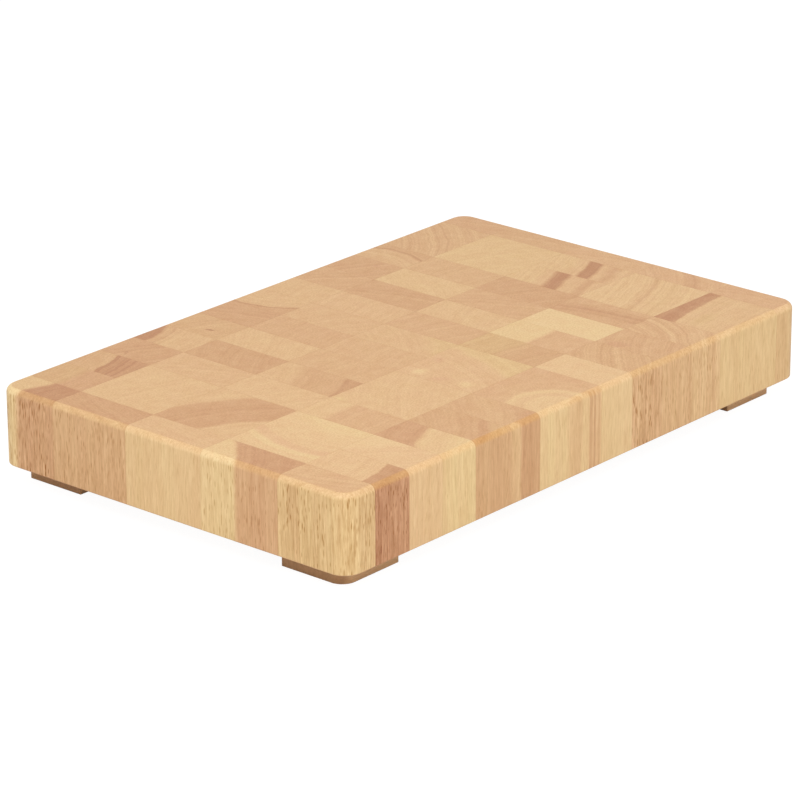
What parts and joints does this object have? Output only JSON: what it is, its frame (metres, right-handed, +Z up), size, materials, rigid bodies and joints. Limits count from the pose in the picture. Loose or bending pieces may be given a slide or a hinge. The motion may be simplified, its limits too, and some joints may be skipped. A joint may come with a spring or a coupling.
{
  "type": "cutting board",
  "caption": "Thick rectangular end-grain hardwood cutting board of upright blocks glued in a grid, with a rounded rim, standing on square wooden feet.",
  "frame": {"origin": "centre of the footprint, on the surface the board stands on", "axes": "+X along the length, +Y from the front long side to the back one, +Z up out of the cutting surface"},
  "size_m": [0.4, 0.2566, 0.057],
  "materials": {
    "block_wood": "oiled, satin",
    "foot_wood": "oiled, satin",
    "screw_steel": "zinc plated"
  },
  "bodies": {
    "root": {"back_block_01": "block_wood", "back_block_02": "block_wood", "back_block_03": "block_wood", "back_block_04": "block_wood", "back_block_05": "block_wood", "back_block_06": "block_wood", "back_block_07": "block_wood", "back_block_08": "block_wood", "back_block_09": "block_wood", "back_block_10": "block_wood", "back_block_11": "block_wood", "back_block_12": "block_wood", "back_block_13_14": "block_wood", "back_block_15": "block_wood", "back_left_foot": "foot_wood", "back_left_foot_screw": "screw_steel", "back_right_foot": "foot_wood", "back_right_foot_screw": "screw_steel", "core_blocks_02_03": "block_wood", "core_blocks_04": "block_wood", "core_blocks_05": "block_wood", "core_blocks_05_06": "block_wood", "core_blocks_06": "block_wood", "core_blocks_07": "block_wood", "core_blocks_07_08": "block_wood", "core_blocks_08": "block_wood", "core_blocks_09": "block_wood", "core_blocks_10": "block_wood", "core_blocks_11": "block_wood", "core_blocks_12": "block_wood", "core_blocks_13": "block_wood", "core_blocks_13_14": "block_wood", "core_blocks_14": "block_wood", "front_block_01": "block_wood", "front_block_02": "block_wood", "front_block_03": "block_wood", "front_block_04": "block_wood", "front_block_05": "block_wood", "front_block_06": "block_wood", "front_block_07_08": "block_wood", "front_block_09": "block_wood", "front_block_10": "block_wood", "front_block_11": "block_wood", "front_block_12": "block_wood", "front_block_13_14": "block_wood", "front_block_15": "block_wood", "front_left_foot": "foot_wood", "front_left_foot_screw": "screw_steel", "front_right_foot": "foot_wood", "front_right_foot_screw": "screw_steel", "left_block_1": "block_wood", "left_block_2": "block_wood", "left_block_3": "block_wood", "right_block_1": "block_wood", "right_block_2": "block_wood", "right_block_3": "block_wood"}
  },
  "joints": []
}
